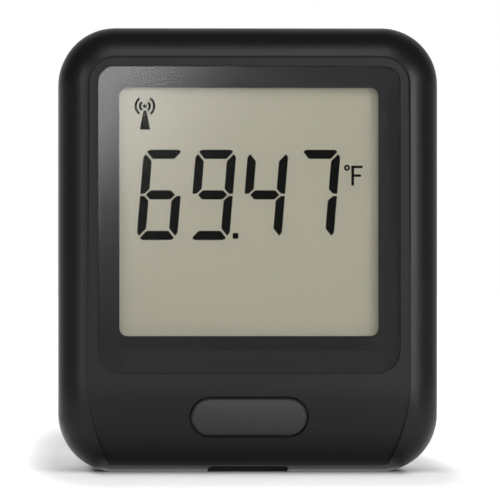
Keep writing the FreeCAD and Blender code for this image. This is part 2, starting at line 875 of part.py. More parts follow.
def button_cap():
    """The cap: a long crown that stands proud of the chin, a flange behind the seal, and a stem."""
    width = button_hole_width - 2 * button_gap
    height = button_hole_height - 2 * button_gap
    tilt = math.asin(max(0.0, chin_height - button_z) / panel_chin_radius)
    inward = button_crown_radius - button_proud
    crown_y = face_depth(button_z, panel_y, panel_chin_radius) + inward * math.cos(tilt)
    crown_z = button_z + inward * math.sin(tilt)
    axis_end = Vector(-beyond, crown_y, crown_z)
    crown = Part.makeCylinder(button_crown_radius, 2 * beyond, axis_end, Vector(1, 0, 0))
    cap = stadium(width, height, front_y - overrun, flange_y).common(crown)
    rim = []
    for edge in cap.Edges:
        point = middle_of(edge)
        if abs(math.hypot(point.y - crown_y, point.z - crown_z) - button_crown_radius) < touch:
            rim.append(edge)
    cap = cap.makeChamfer(button_edge_chamfer, rim)
    lip = 2 * button_flange_lip
    flange = chip(0, button_z, width + lip, height + lip, flange_y, flange_rear_y)
    stem = rod(0, button_z, button_stem_radius, flange_rear_y, plunger_tip_y)
    return cap.fuse([flange, stem]).removeSplitter()


def button_seal():
    """The soft ring between the case's collar and the button's flange."""
    rear = collar_y + button_seal_thickness
    collar = 2 * button_collar_wall
    outside = chip(0, button_z, button_hole_width + collar, button_hole_height + collar, collar_y, rear)
    return outside.cut(stadium(button_hole_width, button_hole_height, collar_y, rear))


def switch_body():
    """The switch's moulded base, with the well that its plunger sinks into."""
    well = switch_plunger_radius + switch_plunger_collar + switch_plunger_clearance
    base = chip(0, button_z, switch_size, switch_size, switch_body_y, board_y)
    return base.cut(rod(0, button_z, well, switch_body_y, well_rear_y, seen_flat_count))


def switch_cover():
    """The sheet cover that keeps the plunger in, with two tabs folded down to the board."""
    cover = chip(0, button_z, switch_size, switch_size, switch_front_y, switch_body_y)
    hole_radius = switch_plunger_radius + switch_plunger_clearance
    cover = cover.cut(rod(0, button_z, hole_radius, switch_front_y, switch_body_y, seen_flat_count))
    tabs = []
    for side in (-1, 1):
        x = side * (switch_size + switch_cover_thickness) / 2
        tabs.append(chip(x, button_z, switch_cover_thickness, switch_tab_width, switch_front_y, board_y))
    return cover.fuse(tabs)


def switch_plunger():
    collar_rear_y = switch_body_y + switch_plunger_collar_height
    stem = rod(0, button_z, switch_plunger_radius, plunger_tip_y, collar_rear_y, seen_flat_count)
    collar_radius = switch_plunger_radius + switch_plunger_collar
    collar = rod(0, button_z, collar_radius, switch_body_y, collar_rear_y, seen_flat_count)
    return stem.fuse(collar).removeSplitter()


def socket_shell():
    """The socket's sheet-metal shell, bevelled on its rear edges and open towards the notch."""
    top = socket_foot + socket_length
    forms = []
    for inset in (0, socket_sheet):
        half = socket_width / 2 - inset
        y0 = board_rear_y + inset
        y1 = board_rear_y + socket_depth - inset
        foot = socket_foot if inset == 0 else socket_foot - overrun
        form = block(-half, half, y0, y1, foot, top - inset)
        upright = [e for e in edges_at_depth(form, y1) if abs(e.Vertexes[0].Z - e.Vertexes[1].Z) > touch]
        forms.append(form.makeChamfer(socket_bevel, upright))
    return forms[0].cut(forms[1])


def socket_tongue():
    middle = socket_foot + socket_length - socket_sheet - tongue_length / 2
    half = tongue_thickness / 2
    return chip(0, middle, tongue_width, tongue_length, socket_y - half, socket_y + half)


def battery_cell():
    """The pouch cell, with the flat terrace at its left end that its protection board lies on."""
    front = cell_back_y - cell_thickness
    pouch = block(cell_left + terrace_length, cell_right, front, cell_back_y, cell_foot, cell_top)
    long_edges = [e for e in pouch.Edges if abs(e.Vertexes[0].X - e.Vertexes[1].X) > touch]
    pouch = pouch.makeFillet(cell_edge_radius, long_edges)
    low = cell_foot + cell_edge_radius + terrace_end_gap
    high = cell_top - cell_edge_radius - terrace_end_gap
    terrace_y = cell_back_y - terrace_thickness
    terrace = block(cell_left, cell_left + terrace_length, terrace_y, cell_back_y, low, high)
    return pouch.fuse(terrace)


def protection_board():
    left = cell_left + protection_gap
    right = cell_left + terrace_length - protection_gap
    low = cell_foot + cell_edge_radius + protection_end_gap
    high = cell_top - cell_edge_radius - protection_end_gap
    return block(left, right, protection_y, protection_y + protection_thickness, low, high)


def battery_pad():
    left = cell_left + terrace_length + cell_pad_margin
    right = cell_right - cell_pad_margin
    low = cell_foot + cell_pad_margin
    high = cell_top - cell_pad_margin
    return block(left, right, cell_back_y, inner_rear_y, low, high)


def bent_tube(points, radius):
    """A wire with flats along straight runs, each joined to the next by as large an arc as they allow."""
    edges = []
    start = points[0]
    for before, corner, after in zip(points, points[1:], points[2:]):
        back = before - corner
        ahead = after - corner
        half_turn = (math.pi - back.getAngle(ahead)) / 2
        cut = arc_share_of_run * min(back.Length, ahead.Length)
        back.normalize()
        ahead.normalize()
        leave = corner + back * cut
        arrive = corner + ahead * cut
        turn_radius = cut / math.tan(half_turn)
        inward = (back + ahead).normalize()
        centre = corner + inward * math.hypot(cut, turn_radius)
        edges.append(Part.makeLine(start, leave))
        edges.append(Part.Arc(leave, centre - inward * turn_radius, arrive).toShape())
        start = arrive
    edges.append(Part.makeLine(start, points[-1]))
    along = (points[1] - points[0]).normalize()
    level = Vector(0, 1, 0)
    upright = along.cross(level)
    corners = []
    for number in range(lead_flat_count + 1):
        angle = (number + 0.5) * 2 * math.pi / lead_flat_count
        reach = level * (radius * math.cos(angle)) + upright * (radius * math.sin(angle))
        corners.append(points[0] + reach)
    return Part.Wire(edges).makePipeShell([Part.makePolygon(corners)], True, False)


def battery_lead(side):
    """One lead, from the protection board to the plug. Side -1 is the outer lead and 1 the inner one."""
    x = header_x + side * lead_spread / 2
    z = cell_foot + lead_height + side * lead_spread / 2
    points = [
        Vector(cell_left + terrace_length / 2, lead_y, z),
        Vector(x, lead_y, z),
        Vector(x, plug_y, z + lead_first_rise),
        Vector(x, plug_y, plug_foot),
    ]
    return bent_tube(points, lead_radius)


def battery_plug():
    z = plug_foot + battery_plug_length / 2
    half = battery_plug_thickness / 2
    return chip(header_x, z, battery_plug_width, battery_plug_length, plug_y - half, plug_y + half)


def battery_header():
    """The socket on the board that the battery's plug is pushed up into."""
    gap = battery_plug_clearance
    half = battery_plug_width / 2 + gap
    foot = plug_top - header_grip
    outside = block(
        header_x - half - header_wall,
        header_x + half + header_wall,
        board_rear_y,
        header_rear_y,
        foot,
        plug_top + header_wall,
    )
    cavity_y0 = board_rear_y + header_wall
    cavity_y1 = header_rear_y - header_wall
    cavity = block(header_x - half, header_x + half, cavity_y0, cavity_y1, foot - overrun, plug_top)
    return outside.cut(cavity)


def screw(x, z, radius, length, head_radius, head_height, seat_y, head_flats):
    """A pan-head screw driven from the rear, with a cross recess in its head."""
    top = seat_y + head_height
    form = rod(x, z, radius, seat_y - length, seat_y)
    form = form.fuse(rod(x, z, head_radius, seat_y, top, head_flats))
    reach = 2 * (head_radius - drive_margin)
    across = chip(x, z, reach, drive_width, top - drive_depth, top)
    upright = chip(x, z, drive_width, reach, top - drive_depth, top)
    return form.cut([across, upright])


def case_screw(x, z):
    head = (case_screw_head_radius, case_screw_head_height)
    return screw(x, z, case_screw_radius, case_screw_length, *head, case_head_y, seen_flat_count)


def board_screw(x, z):
    head = (board_screw_head_radius, board_screw_head_height)
    return screw(x, z, board_screw_radius, board_screw_length, *head, board_rear_y, hidden_flat_count)


def all_pieces():
    """Every piece of the logger by name."""
    rear_foot = rear_glass_foot
    setback = polariser_setback
    pieces = {
        "front_case": front_case(),
        "rear_case": rear_case(),
        "case_seal": case_seal(),
        "display_window": display_window(),
        "window_border": window_border(),
        "dust_gasket": dust_gasket(),
        "lcd_front_polariser": glass_pane(rear_foot, setback, display_y, front_glass_y),
        "lcd_front_glass": glass_pane(front_glass_foot, 0, front_glass_y, rear_glass_y),
        "lcd_rear_glass": glass_pane(rear_foot, 0, rear_glass_y, rear_polariser_y),
        "lcd_rear_polariser": glass_pane(rear_foot, setback, rear_polariser_y, display_rear_y),
        "lcd_holder": display_holder(),
        "lcd_connector": display_connector(),
        "main_board": main_board(),
        "temperature_sensor": temperature_sensor(),
        "processor": processor(),
        "memory_chip": memory_chip(),
        "crystal": crystal(),
        "inductor": inductor(),
        "charger_chip": charger_chip(),
        "wifi_board": radio_board(),
        "wifi_shield": radio_shield(),
        "wifi_antenna": radio_antenna(),
        "button_cap": button_cap(),
        "button_seal": button_seal(),
        "switch_body": switch_body(),
        "switch_cover": switch_cover(),
        "switch_plunger": switch_plunger(),
        "usb_shell": socket_shell(),
        "usb_tongue": socket_tongue(),
        "battery_cell": battery_cell(),
        "battery_protection_board": protection_board(),
        "battery_pad": battery_pad(),
        "battery_lead_outer": battery_lead(-1),
        "battery_lead_inner": battery_lead(1),
        "battery_plug": battery_plug(),
        "battery_header": battery_header(),
    }
    for number in range(capacitor_count):
        pieces[f"capacitor_{number + 1}"] = capacitor(number)
    for number, (x, z) in enumerate(boss_places, start=1):
        pieces[f"case_screw_{number}"] = case_screw(x, z)
    for number, (x, z) in enumerate(board_post_places, start=1):
        pieces[f"board_screw_{number}"] = board_screw(x, z)
    return pieces


os.makedirs("parts", exist_ok=True)
for name, shape in all_pieces().items():
    shape.exportStep(f"parts/{name}.step")
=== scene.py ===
import math

import bpy
from mathutils import Matrix, Vector


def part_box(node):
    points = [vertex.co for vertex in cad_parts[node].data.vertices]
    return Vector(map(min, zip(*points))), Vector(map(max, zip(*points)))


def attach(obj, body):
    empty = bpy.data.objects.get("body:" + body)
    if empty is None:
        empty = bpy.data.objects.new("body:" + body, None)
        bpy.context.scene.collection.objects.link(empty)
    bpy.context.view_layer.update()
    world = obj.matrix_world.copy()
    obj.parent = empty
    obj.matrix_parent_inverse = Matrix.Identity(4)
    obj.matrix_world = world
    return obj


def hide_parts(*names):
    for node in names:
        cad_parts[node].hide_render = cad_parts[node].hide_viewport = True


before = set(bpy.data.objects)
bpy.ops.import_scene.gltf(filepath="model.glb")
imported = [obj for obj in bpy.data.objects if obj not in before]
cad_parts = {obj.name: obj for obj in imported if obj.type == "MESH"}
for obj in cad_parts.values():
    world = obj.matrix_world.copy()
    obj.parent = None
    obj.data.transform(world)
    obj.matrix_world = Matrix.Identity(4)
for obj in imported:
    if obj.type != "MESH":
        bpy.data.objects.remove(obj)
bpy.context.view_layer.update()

# The table and the room: a plain white sheet that the logger stands on, and a white backdrop behind it. The
# sheet and the backdrop are white to the eye. The shadow round the logger's foot is partly cast and partly
# painted on the sheet, and the sheet shows a painted reflection in the logger's gloss.
def new_material(name):
    material = bpy.data.materials.new(name)
    material.use_nodes = True
    material.node_tree.nodes.clear()
    return material


def add_node(tree, kind, **inputs):
    node = tree.nodes.new(kind)
    for key, value in inputs.items():
        node.inputs[key.replace("_", " ")].default_value = value
    return node


def add_math(tree, operation, first, second):
    """A sum or comparison of a link and a number, or of two links."""
    node = tree.nodes.new("ShaderNodeMath")
    node.operation = operation
    for socket, value in zip(node.inputs, (first, second)):
        if isinstance(value, (int, float)):
            socket.default_value = value
        else:
            tree.links.new(value, socket)
    return node.outputs["Value"]


table_side = 12.0
bpy.ops.object.select_all(action="DESELECT")
bpy.ops.mesh.primitive_plane_add(size=table_side, location=(0.0, 0.0, 0.0))
table = bpy.context.active_object
table.name = "table"

foot_half_width = 0.0268
foot_half_depth = 0.0085
# Distance behind the foot counts at this share, so the painted shadow reaches further back.
painted_shade_behind = 0.35
paper = new_material("white_paper_with_painted_shadow")
tree = paper.node_tree
place = tree.nodes.new("ShaderNodeTexCoord")
axes = tree.nodes.new("ShaderNodeSeparateXYZ")
tree.links.new(place.outputs["Object"], axes.inputs["Vector"])
beside = add_math(tree, "SUBTRACT", add_math(tree, "ABSOLUTE", axes.outputs["X"], 0.0), foot_half_width)
in_front = add_math(tree, "SUBTRACT", -foot_half_depth, axes.outputs["Y"])
to_the_rear = add_math(tree, "SUBTRACT", axes.outputs["Y"], foot_half_depth)
in_painted_shade = add_math(tree, "MULTIPLY", to_the_rear, painted_shade_behind)
side_distance = add_math(tree, "MAXIMUM", beside, 0.0)
depth_distance = add_math(tree, "MAXIMUM", add_math(tree, "MAXIMUM", in_front, in_painted_shade), 0.0)


def far_from_foot(sideways):
    """Distance from the logger's foot, with the sideways part stretched or shrunk."""
    across = add_math(tree, "POWER", add_math(tree, "MULTIPLY", side_distance, sideways), 2.0)
    along = add_math(tree, "POWER", depth_distance, 2.0)
    return add_math(tree, "POWER", add_math(tree, "ADD", across, along), 0.5)


def table_ramp(distance, reach, at_foot, at_reach, stops):
    """Grey levels by distance in metres: at the foot, at stops on the way, and from the reach on."""
    nearness = add_node(tree, "ShaderNodeMapRange", From_Max=reach)
    tree.links.new(distance, nearness.inputs["Value"])
    ramp = tree.nodes.new("ShaderNodeValToRGB")
    ramp.color_ramp.elements[0].color = (at_foot, at_foot, at_foot, 1.0)
    ramp.color_ramp.elements[1].color = (at_reach, at_reach, at_reach, 1.0)
    for metres, level in stops:
        ramp.color_ramp.elements.new(metres / reach).color = (level, level, level, 1.0)
    tree.links.new(nearness.outputs["Result"], ramp.inputs["Fac"])
    return ramp.outputs["Color"]


# The light that the sheet adds to what the eye sees of it. It is nil at the foot and rises to white further
# off, which paints a shadow round the foot: longest behind it, shorter in front, shortest to the sides.
seen_stops = [
    (0.013, 0.0), (0.018, 0.06), (0.026, 0.2), (0.036, 0.28),
    (0.053, 0.32), (0.085, 0.34), (0.115, 0.48), (0.15, 0.80),
]
seen_level = table_ramp(far_from_foot(10.0), reach=0.3, at_foot=0.0, at_reach=1.0, stops=seen_stops)

# A painted reflection: the sheet glows only in the logger's gloss, bright right at the foot, dim just in
# front of it, more to the sides, and less far in front.
painted_reflection_stops = [(0.0006, 0.03), (0.003, 0.08), (0.007, 0.45), (0.015, 0.66)]
painted_reflection_level = table_ramp(far_from_foot(0.3), reach=0.06, at_foot=0.9, at_reach=0.50, stops=painted_reflection_stops)
painted_side_glow_stops = [(0.006, 0.5), (0.02, 0.5)]
painted_side_glow = table_ramp(side_distance, reach=0.06, at_foot=0.0, at_reach=0.0, stops=painted_side_glow_stops)
painted_reflection_level = add_math(tree, "MINIMUM", add_math(tree, "ADD", painted_reflection_level, painted_side_glow), 1.0)
fade_starts = 0.1
fade_ends = 0.5
far_gloss = 0.2
fade = add_node(
    tree, "ShaderNodeMapRange", From_Min=fade_starts, From_Max=fade_ends, To_Min=1.0, To_Max=far_gloss
)
tree.links.new(in_front, fade.inputs["Value"])
painted_reflection_level = add_math(tree, "MULTIPLY", painted_reflection_level, fade.outputs["Result"])

# How much of the light on it the sheet scatters: white, with a painted shade that darkens it near the foot.
painted_paper_shade_stops = [(0.010, 0.71), (0.015, 0.86)]
paper_white_and_painted_shade = table_ramp(far_from_foot(1.0), reach=0.02, at_foot=0.34, at_reach=0.86, stops=painted_paper_shade_stops)

# The eye sees the sheet with its painted shadow, and the logger's gloss sees its painted reflection.
path = tree.nodes.new("ShaderNodeLightPath")
level = tree.nodes.new("ShaderNodeMix")
level.data_type = "RGBA"
tree.links.new(path.outputs["Is Camera Ray"], level.inputs["Factor"])
tree.links.new(painted_reflection_level, level.inputs["A"])
tree.links.new(seen_level, level.inputs["B"])
surface = tree.nodes.new("ShaderNodeBsdfDiffuse")
tree.links.new(paper_white_and_painted_shade, surface.inputs["Color"])
lift = tree.nodes.new("ShaderNodeEmission")
both = tree.nodes.new("ShaderNodeAddShader")
output = tree.nodes.new("ShaderNodeOutputMaterial")
seen = add_math(tree, "MAXIMUM", path.outputs["Is Camera Ray"], path.outputs["Is Glossy Ray"])
tree.links.new(level.outputs["Result"], lift.inputs["Color"])
tree.links.new(seen, lift.inputs["Strength"])
tree.links.new(surface.outputs["BSDF"], both.inputs[0])
tree.links.new(lift.outputs["Emission"], both.inputs[1])

# Seen from below, the sheet lets the eye through to the logger's foot.
underside = tree.nodes.new("ShaderNodeNewGeometry")
open_below = tree.nodes.new("ShaderNodeBsdfTransparent")
one_sided = tree.nodes.new("ShaderNodeMixShader")
tree.links.new(underside.outputs["Backfacing"], one_sided.inputs["Fac"])
tree.links.new(both.outputs["Shader"], one_sided.inputs[1])
tree.links.new(open_below.outputs["BSDF"], one_sided.inputs[2])
tree.links.new(one_sided.outputs["Shader"], output.inputs["Surface"])
table.data.materials.append(paper)

front_glow = 0.10
rear_glow = 0.64
room = bpy.data.worlds.new("white_room")
room.use_nodes = True
bpy.context.scene.world = room
tree = room.node_tree
tree.nodes.clear()
direction = tree.nodes.new("ShaderNodeTexCoord")
axes = tree.nodes.new("ShaderNodeSeparateXYZ")
behind = add_node(
    tree, "ShaderNodeMapRange", From_Min=0.2, From_Max=0.9, To_Min=front_glow, To_Max=rear_glow
)
behind.interpolation_type = "SMOOTHSTEP"
path = tree.nodes.new("ShaderNodeLightPath")
backdrop = add_node(tree, "ShaderNodeBackground", Color=(1.0, 1.0, 1.0, 1.0))
output = tree.nodes.new("ShaderNodeOutputWorld")
tree.links.new(direction.outputs["Generated"], axes.inputs["Vector"])
tree.links.new(axes.outputs["Y"], behind.inputs["Value"])
seen = add_math(tree, "MAXIMUM", path.outputs["Is Camera Ray"], path.outputs["Is Transmission Ray"])
strength = add_math(tree, "MAXIMUM", seen, behind.outputs["Result"])
tree.links.new(strength, backdrop.inputs["Strength"])
tree.links.new(backdrop.outputs["Background"], output.inputs["Surface"])

# The camera: a long lens, level with the middle of the logger and a little to its left. The picture's width
# is measured at the plane of the logger's front.
camera_distance = 1.6
camera_turn = math.radians(1.9)
film_width = 36.0
front_plane = 0.0115
picture_width = 0.09215
aim = Vector((0.00052, 0.0, 0.04098))
bpy.ops.object.camera_add()
camera = bpy.context.active_object
camera.name = "camera"
away = Vector((-math.sin(camera_turn), -math.cos(camera_turn), 0.0))
camera.location = aim + away * camera_distance
camera.rotation_euler = (-away).to_track_quat("-Z", "Y").to_euler()
camera.data.lens = film_width * (camera_distance - front_plane) / picture_width
camera.data.clip_start = 0.05
camera.data.clip_end = 20.0
bpy.context.scene.camera = camera
bpy.context.scene.view_settings.view_transform = "Standard"

# The lamps: a round one over the camera's left shoulder, whose edge shows in the window, and soft boxes to
# the left, to the right and above, each with a grid that keeps its light off the table.
logger_middle = Vector((0.0, 0.0, 0.041))


def soft_lamp(name, turn, rise, distance, shape, width, height, power, grid):
    """A lamp that faces the logger from so many degrees to the right and above; grid in degrees too."""
    turn, rise = math.radians(turn), math.radians(rise)
    away = Vector((math.cos(rise) * math.sin(turn), -math.cos(rise) * math.cos(turn), math.sin(rise)))
    bpy.ops.object.light_add(type="AREA", location=logger_middle + away * distance)
    lamp = bpy.context.active_object
    lamp.name = name
    lamp.data.shape = shape
    lamp.data.size = width
    if shape == "RECTANGLE":
        lamp.data.size_y = height
    lamp.data.energy = power
    lamp.data.spread = math.radians(grid)
    lamp.rotation_euler = (-away).to_track_quat("-Z", "Y").to_euler()


soft_lamp("key_lamp", -5.88, 6.82, 0.81, "DISK", 0.20, 0.20, 0.215, 100.0)
soft_lamp("left_box", -40.0, 7.0, 1.0, "RECTANGLE", 0.25, 0.45, 0.30, 60.0)
soft_lamp("left_edge_box", -55.0, 7.0, 1.0, "RECTANGLE", 0.25, 0.45, 0.03, 60.0)
soft_lamp("right_box", 38.0, 4.0, 0.45, "RECTANGLE", 0.12, 0.20, 0.19, 80.0)
soft_lamp("right_edge_box", 55.0, 7.0, 1.0, "RECTANGLE", 0.25, 0.45, 0.12, 60.0)
soft_lamp("right_strip", 16.0, 4.0, 0.45, "RECTANGLE", 0.06, 0.20, 0.068, 80.0)
soft_lamp("top_box", 0.0, 36.0, 1.0, "RECTANGLE", 0.60, 0.20, 0.33, 60.0)
soft_lamp("high_box", 0.0, 50.0, 1.0, "RECTANGLE", 0.60, 0.20, 0.153, 60.0)
soft_lamp("lit_wall", 1.9, 0.4, 2.2, "RECTANGLE", 0.50, 0.50, 0.06, 120.0)

# The front of the case: one injection moulding in black ABS with a satin face, whose bullnose rim, sunk
# panel and curved chin come out of the tool together.
def speckled(name, colour, spread, roughness, specular, grain, depth):
    """A finish whose tone changes by a spread over the piece, with its grain's size and depth in metres."""
    material = new_material(name)
    tree = material.node_tree
    place = tree.nodes.new("ShaderNodeTexCoord")
    patches = add_node(tree, "ShaderNodeTexNoise", Scale=55.0, Detail=3.0)
    tone = add_node(tree, "ShaderNodeMapRange", To_Min=1.0 - spread, To_Max=1.0 + spread)
    shade = tree.nodes.new("ShaderNodeMix")
    shade.data_type = "RGBA"
    shade.blend_type = "MULTIPLY"
    shade.inputs["Factor"].default_value = 1.0
    shade.inputs["A"].default_value = (*colour, 1.0)
    gloss = add_node(tree, "ShaderNodeMapRange", To_Min=roughness * 0.9, To_Max=roughness * 1.1)
    grains = add_node(tree, "ShaderNodeTexNoise", Scale=1.0 / grain, Detail=2.0)
    relief = add_node(tree, "ShaderNodeBump", Strength=0.5, Distance=depth)
    face = tree.nodes.new("ShaderNodeBsdfPrincipled")
    face.inputs["Specular IOR Level"].default_value = specular
    output = tree.nodes.new("ShaderNodeOutputMaterial")
    tree.links.new(place.outputs["Object"], patches.inputs["Vector"])
    tree.links.new(place.outputs["Object"], grains.inputs["Vector"])
    tree.links.new(patches.outputs["Fac"], tone.inputs["Value"])
    tree.links.new(patches.outputs["Fac"], gloss.inputs["Value"])
    tree.links.new(tone.outputs["Result"], shade.inputs["B"])
    tree.links.new(shade.outputs["Result"], face.inputs["Base Color"])
    tree.links.new(gloss.outputs["Result"], face.inputs["Roughness"])
    tree.links.new(grains.outputs["Fac"], relief.inputs["Height"])
    tree.links.new(relief.outputs["Normal"], face.inputs["Normal"])
    tree.links.new(face.outputs["BSDF"], output.inputs["Surface"])
    return material


def take_place(piece, node, body="case"):
    """The piece stands for a frame node: it moves with its body, and the node itself is hidden."""
    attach(piece, body)
    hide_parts(node)


def even_shading(piece, crisp_angle=28.0):
    """Shades flats flat and curves smooth, up to the crisp edges between them."""
    square_on = 0.99999
    flat_weight = 1000.0
    mesh = piece.data
    crisp = math.cos(math.radians(crisp_angle))
    meeting = [[] for vertex in mesh.vertices]
    flat = []
    for face in mesh.polygons:
        flat.append(max(abs(part) for part in face.normal) > square_on)
        for vertex in face.vertices:
            meeting[vertex].append(face)
    normals = []
    for face in mesh.polygons:
        for vertex in face.vertices:
            normal = Vector((0.0, 0.0, 0.0))
            for other in meeting[vertex]:
                if other.normal.dot(face.normal) > crisp:
                    normal += other.normal * other.area * (flat_weight if flat[other.index] else 1.0)
            normals.append(face.normal.copy() if flat[face.index] else normal.normalized())
    for edge in mesh.edges:
        edge.use_edge_sharp = True
    mesh.normals_split_custom_set(normals)
    return normals


def cleaned_moulding(node, name, material, body="case"):
    """The node's own shape as a new piece, with its seams merged so that its shading can be made even."""
    piece = bpy.data.objects.new(name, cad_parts[node].data.copy())
    bpy.context.scene.collection.objects.link(piece)
    bpy.ops.object.select_all(action="DESELECT")
    piece.select_set(True)
    bpy.context.view_layer.objects.active = piece
    bpy.ops.object.mode_set(mode="EDIT")
    bpy.ops.mesh.select_all(action="SELECT")
    bpy.ops.mesh.remove_doubles(threshold=0.0000005)
    bpy.ops.object.mode_set(mode="OBJECT")
    piece.data.shade_smooth()
    piece.data.materials.clear()
    piece.data.materials.append(material)
    take_place(piece, node, body)
    return piece


def draft_wall(piece, sill_y, low_z, draft):
    """Leans the walls that stand on the plane y = sill_y above low_z, by moving their feet off them."""
    upright = 0.1
    least_height = 0.0002
    on_sill = 0.00001
    moves = {}
    for face in piece.data.polygons:
        corners = [piece.data.vertices[number] for number in face.vertices]
        stands_out = min(corner.co.y for corner in corners) < sill_y - least_height
        if abs(face.normal.y) < upright and stands_out:
            for corner in corners:
                if abs(corner.co.y - sill_y) < on_sill and corner.co.z > low_z:
                    moves.setdefault(corner.index, Vector((0.0, 0.0, 0.0)))
                    moves[corner.index] += face.normal
    for number, away in moves.items():
        piece.data.vertices[number].co += away.normalized() * draft


satin_black = speckled("satin_black_abs", (0.0060, 0.0061, 0.0065), 0.10, 0.34, 0.175, 0.00022, 0.000012)
front_moulding = cleaned_moulding("front_case", "front_moulding", satin_black)
panel_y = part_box("display_window")[0].y
draft_low_z = 0.05
draft = 0.00042
draft_wall(front_moulding, panel_y, draft_low_z, draft)
normals = even_shading(front_moulding)

chin_radius = 0.0306
chin_top = 0.016
chin_axis = Vector((0.0, panel_y + chin_radius, chin_top))
chin_tolerance = 0.00002
facing_out = 0.95
for face in front_moulding.data.polygons:
    reaches = []
    for vertex in face.vertices:
        reach = front_moulding.data.vertices[vertex].co - chin_axis
        reach.x = 0.0
        reaches.append(reach)
    on_chin = all(abs(reach.length - chin_radius) < chin_tolerance for reach in reaches)
    if on_chin and face.normal.dot(reaches[0].normalized()) > facing_out and face.center.z < chin_top:
        for corner, reach in zip(face.loop_indices, reaches):
            normals[corner] = reach.normalized()
front_moulding.data.normals_split_custom_set(normals)

# The display window: polished acrylic let into the panel, with its border printed black on the back. Over
# the display its face is coated, so that it mirrors less there.
def finish_node(node, material):
    """Gives a frame piece its finish."""
    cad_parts[node].data.materials.clear()
    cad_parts[node].data.materials.append(material)


def clear_sheet(name, tint, roughness, index, left_by_coat=1.0, half_width=0.0, low_z=0.0, high_z=0.0):
    """Clear sheet, whose outer face mirrors by its index, and only a share of that where it is coated."""
    material = new_material(name)
    tree = material.node_tree
    place = tree.nodes.new("ShaderNodeTexCoord")
    haze = add_node(tree, "ShaderNodeTexNoise", Scale=120.0, Detail=2.0)
    gloss = add_node(tree, "ShaderNodeMapRange", To_Min=roughness * 0.85, To_Max=roughness * 1.15)
    through = add_node(tree, "ShaderNodeBsdfTransparent", Color=(*tint, 1.0))
    mirror = add_node(tree, "ShaderNodeBsdfAnisotropic", Color=(1.0, 1.0, 1.0, 1.0))
    share = add_node(tree, "ShaderNodeFresnel", IOR=index)
    side = tree.nodes.new("ShaderNodeNewGeometry")
    axes = tree.nodes.new("ShaderNodeSeparateXYZ")
    both = tree.nodes.new("ShaderNodeMixShader")
    output = tree.nodes.new("ShaderNodeOutputMaterial")
    tree.links.new(place.outputs["Object"], haze.inputs["Vector"])
    tree.links.new(place.outputs["Object"], axes.inputs["Vector"])
    tree.links.new(haze.outputs["Fac"], gloss.inputs["Value"])
    tree.links.new(gloss.outputs["Result"], mirror.inputs["Roughness"])
    off_middle = add_math(tree, "ABSOLUTE", axes.outputs["X"], 0.0)
    near_middle = add_math(tree, "LESS_THAN", off_middle, half_width)
    above_low = add_math(tree, "GREATER_THAN", axes.outputs["Z"], low_z)
    below_high = add_math(tree, "LESS_THAN", axes.outputs["Z"], high_z)
    coated = add_math(tree, "MULTIPLY", near_middle, add_math(tree, "MULTIPLY", above_low, below_high))
    left_over = add_math(tree, "SUBTRACT", 1.0, add_math(tree, "MULTIPLY", coated, 1.0 - left_by_coat))
    outer = add_math(tree, "SUBTRACT", 1.0, side.outputs["Backfacing"])
    part = add_math(tree, "MULTIPLY", add_math(tree, "MULTIPLY", outer, left_over), share.outputs["Fac"])
    tree.links.new(part, both.inputs["Fac"])
    tree.links.new(through.outputs["BSDF"], both.inputs[1])
    tree.links.new(mirror.outputs["BSDF"], both.inputs[2])
    tree.links.new(both.outputs["Shader"], output.inputs["Surface"])
    return material


acrylic = clear_sheet(
    "polished_acrylic", (0.97, 0.975, 0.97), 0.10, 1.49,
    left_by_coat=0.3, half_width=0.0238, low_z=0.0252, high_z=0.0708,
)
even_shading(cleaned_moulding("display_window", "window_pane", acrylic))
black_print = speckled("black_print", (0.0060, 0.0060, 0.0062), 0.06, 0.35, 0.05, 0.0001, 0.000002)
finish_node("window_border", black_print)

# The dust gasket: a ring of soft black foam, cut from sheet, and squeezed round the opening between the
# front moulding and the display cell.
black_foam = speckled("black_foam", (0.012, 0.012, 0.013), 0.25, 0.85, 0.2, 0.0004, 0.00005)
finish_node("dust_gasket", black_foam)

# The display cell: two panes of glass with liquid crystal between them and a polarising film on each
# outer face. A segment that is on looks nearly black against the grey-green film.
film = speckled("grey_green_film", (0.312, 0.288, 0.227), 0.01, 0.13, 0.62, 0.00015, 0.0)
cell_glass = clear_sheet("cell_glass", (0.93, 0.96, 0.93), 0.03, 1.52)
finish_node("lcd_front_polariser", film)
finish_node("lcd_front_glass", cell_glass)
finish_node("lcd_rear_glass", cell_glass)
finish_node("lcd_rear_polariser", film)

ink_dark = (0.0018, 0.0017, 0.0015, 1.0)
ink_light = (0.0028, 0.0027, 0.0024, 1.0)
ink = new_material("dark_segments")
tree = ink.node_tree
place = tree.nodes.new("ShaderNodeTexCoord")
cloud = add_node(tree, "ShaderNodeTexNoise", Scale=400.0, Detail=2.0)
shade = tree.nodes.new("ShaderNodeMix")
shade.data_type = "RGBA"
shade.inputs["A"].default_value = ink_dark
shade.inputs["B"].default_value = ink_light
face = add_node(tree, "ShaderNodeBsdfPrincipled", Roughness=0.5)
face.inputs["Specular IOR Level"].default_value = 0.0
output = tree.nodes.new("ShaderNodeOutputMaterial")
tree.links.new(place.outputs["Object"], cloud.inputs["Vector"])
tree.links.new(cloud.outputs["Fac"], shade.inputs["Factor"])
tree.links.new(shade.outputs["Result"], face.inputs["Base Color"])
tree.links.new(face.outputs["BSDF"], output.inputs["Surface"])

ink_depth = 0.00003
ink_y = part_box("lcd_front_polariser")[0].y


def flat_rectangle(name, left, right, low, high):
    """A flat rectangle in the plane of the display's face."""
    bpy.ops.object.select_all(action="DESELECT")
    centre = ((left + right) / 2, 0.0, (low + high) / 2)
    bpy.ops.mesh.primitive_plane_add(size=1.0, location=centre, rotation=(math.pi / 2, 0.0, 0.0))
    piece = bpy.context.active_object
    piece.name = name
    piece.scale = (right - left, high - low, 1.0)
    bpy.ops.object.transform_apply(location=True, rotation=True, scale=True)
    return piece


